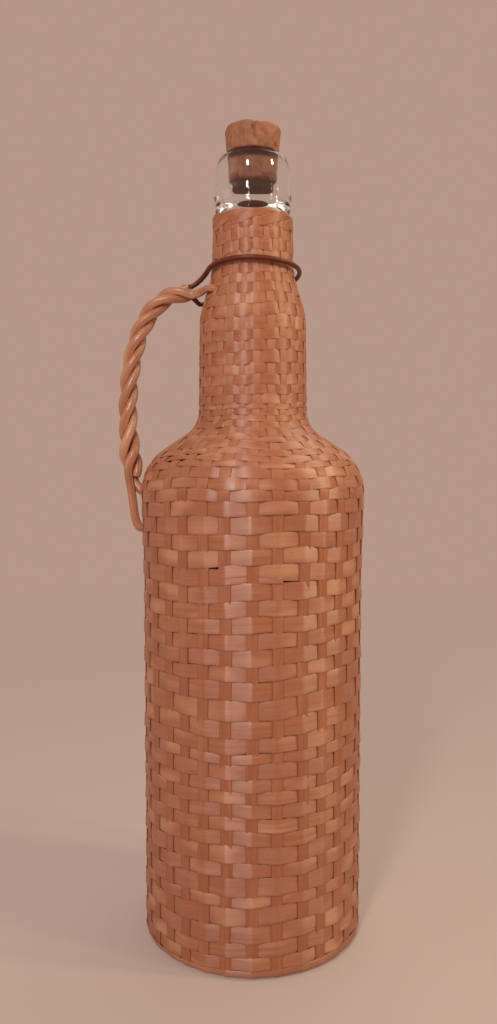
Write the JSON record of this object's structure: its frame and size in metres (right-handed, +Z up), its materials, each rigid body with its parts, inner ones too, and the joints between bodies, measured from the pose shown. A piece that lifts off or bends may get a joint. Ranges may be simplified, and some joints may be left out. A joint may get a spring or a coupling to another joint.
{
  "type": "wicker-covered wine flask",
  "caption": "Tall round glass bottle in a close-fitting woven splint jacket, with a push-in cork and a twisted cane carrying handle on one side of the neck.",
  "frame": {"origin": "middle of the foot, on the surface that the flask stands on", "axes": "+Z up along the bottle's axis; the handle is on the -X side; the front faces -Y"},
  "size_m": [0.0926, 0.0844, 0.3005],
  "materials": {
    "clear_glass": "smooth clear bottle glass",
    "cork": "dry natural cork with cracks and pores",
    "splint": "flat woven splints, fine lengthwise grain, satin",
    "stake_splint": "flat upright splints, fine grain, satin, a little darker",
    "cane": "glossy twisted cane",
    "dark_cane": "thin dark brown cane, satin"
  },
  "bodies": {
    "flask": {"glass_bottle": "clear_glass", "woven_base": "splint", "foot_rim": "splint", "top_border": "splint", "neck_loop": "dark_cane", "handle_strand_01": "cane", "handle_strand_02": "cane", "handle_strand_03": "cane", "weaver_01": "splint", "weaver_02": "splint", "weaver_03": "splint", "weaver_04": "splint", "weaver_05": "splint", "weaver_06": "splint", "weaver_07": "splint", "weaver_08": "splint", "weaver_09": "splint", "weaver_10": "splint", "weaver_11": "splint", "weaver_12": "splint", "weaver_13": "splint", "weaver_14": "splint", "stake_01": "stake_splint", "stake_02": "stake_splint", "stake_03": "stake_splint", "stake_04": "stake_splint", "stake_05": "stake_splint", "stake_06": "stake_splint", "stake_07": "stake_splint", "stake_08": "stake_splint", "stake_09": "stake_splint", "stake_10": "stake_splint", "stake_11": "stake_splint", "stake_12": "stake_splint", "stake_13": "stake_splint", "stake_14": "stake_splint", "stake_15": "stake_splint", "stake_16": "stake_splint", "stake_17": "stake_splint", "stake_18": "stake_splint", "stake_19": "stake_splint", "stake_20": "stake_splint", "stake_21": "stake_splint", "stake_22": "stake_splint", "stake_23": "stake_splint", "stake_24": "stake_splint", "stake_25": "stake_splint", "stake_26": "stake_splint", "stake_27": "stake_splint", "stake_28": "stake_splint", "stake_29": "stake_splint", "stake_30": "stake_splint", "stake_31": "stake_splint"},
    "stopper": {"cork": "cork"}
  },
  "joints": [
    {"name": "cork_pull", "type": "slide", "parent": "flask", "child": "stopper", "axis": [0, 0, 1], "range_m": [0, 0.03]}
  ]
}
